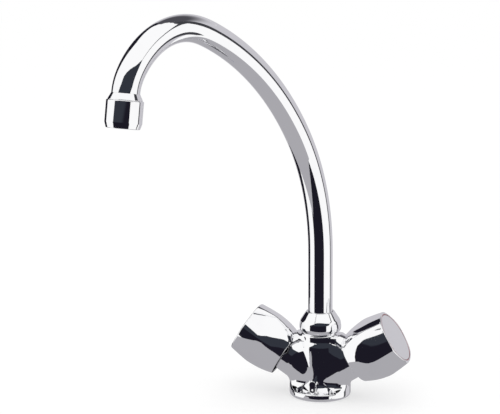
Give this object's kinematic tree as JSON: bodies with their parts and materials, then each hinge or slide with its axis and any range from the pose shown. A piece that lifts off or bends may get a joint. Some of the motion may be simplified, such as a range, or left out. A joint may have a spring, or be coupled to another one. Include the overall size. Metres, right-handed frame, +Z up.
{
  "type": "two handle kitchen faucet",
  "caption": "Deck-mounted mixer tap: high curved swivel spout with an aerator on a Y-shaped body, with faceted hot and cold knobs on raised side arms.",
  "frame": {"origin": "centre of the foot underside, on the deck and on the spout swivel axis", "axes": "+Z up the spout swivel axis, +X over the hot arm, -Y the front that carries the chain eyelet; the spout rests turned to the front left"},
  "size_m": [0.1557, 0.22, 0.2881],
  "materials": {
    "chrome": "bright polished chrome plate on the brass body, tube and zinc knobs",
    "brass": "turned brass, bare",
    "rubber": "black rubber",
    "stainless": "stainless steel",
    "ceramic": "lapped alumina",
    "slide_plastic": "natural acetal",
    "insert_plastic": "pale grey moulded plastic",
    "hot_index": "red translucent plastic",
    "cold_index": "blue translucent plastic"
  },
  "bodies": {
    "body": {"mixer_body": "chrome", "base_seal": "rubber", "chain_eyelet": "chrome", "spout_nut": "chrome", "spout_slide_ring": "slide_plastic", "spout_bearing_washer": "slide_plastic", "hot_seat_seal": "rubber", "hot_fixed_disc": "ceramic", "hot_headpart_body": "brass", "hot_headpart_o_ring": "rubber", "cold_seat_seal": "rubber", "cold_fixed_disc": "ceramic", "cold_headpart_body": "brass", "cold_headpart_o_ring": "rubber"},
    "spout": {"spout_foot": "brass", "spout_o_ring_lower": "rubber", "spout_o_ring_upper": "rubber", "spout_tube": "chrome", "outlet_socket": "chrome", "aerator_housing": "chrome", "aerator_washer": "rubber", "aerator_insert": "insert_plastic", "aerator_screen": "stainless"},
    "hot_handle": {"hot_moving_disc": "ceramic", "hot_spindle": "brass", "hot_spindle_o_ring": "rubber", "hot_spline_bush": "slide_plastic", "hot_handle": "chrome", "hot_handle_screw": "stainless", "hot_index_ring": "hot_index", "hot_handle_cap": "chrome"},
    "cold_handle": {"cold_moving_disc": "ceramic", "cold_spindle": "brass", "cold_spindle_o_ring": "rubber", "cold_spline_bush": "slide_plastic", "cold_handle": "chrome", "cold_handle_screw": "stainless", "cold_index_ring": "cold_index", "cold_handle_cap": "chrome"}
  },
  "joints": [
    {"name": "spout_swivel", "type": "hinge", "parent": "body", "child": "spout", "pos_m": [0, 0, 0.0536], "axis": [0, 0, 1], "continuous": true},
    {"name": "hot_turn", "type": "hinge", "parent": "body", "child": "hot_handle", "pos_m": [0.02902, 0, 0.03033], "axis": [0.8462, 0, 0.5329], "range_deg": [0, 180]},
    {"name": "cold_turn", "type": "hinge", "parent": "body", "child": "cold_handle", "pos_m": [-0.02902, 0, 0.03033], "axis": [-0.8462, 0, 0.5329], "range_deg": [0, 180]}
  ]
}
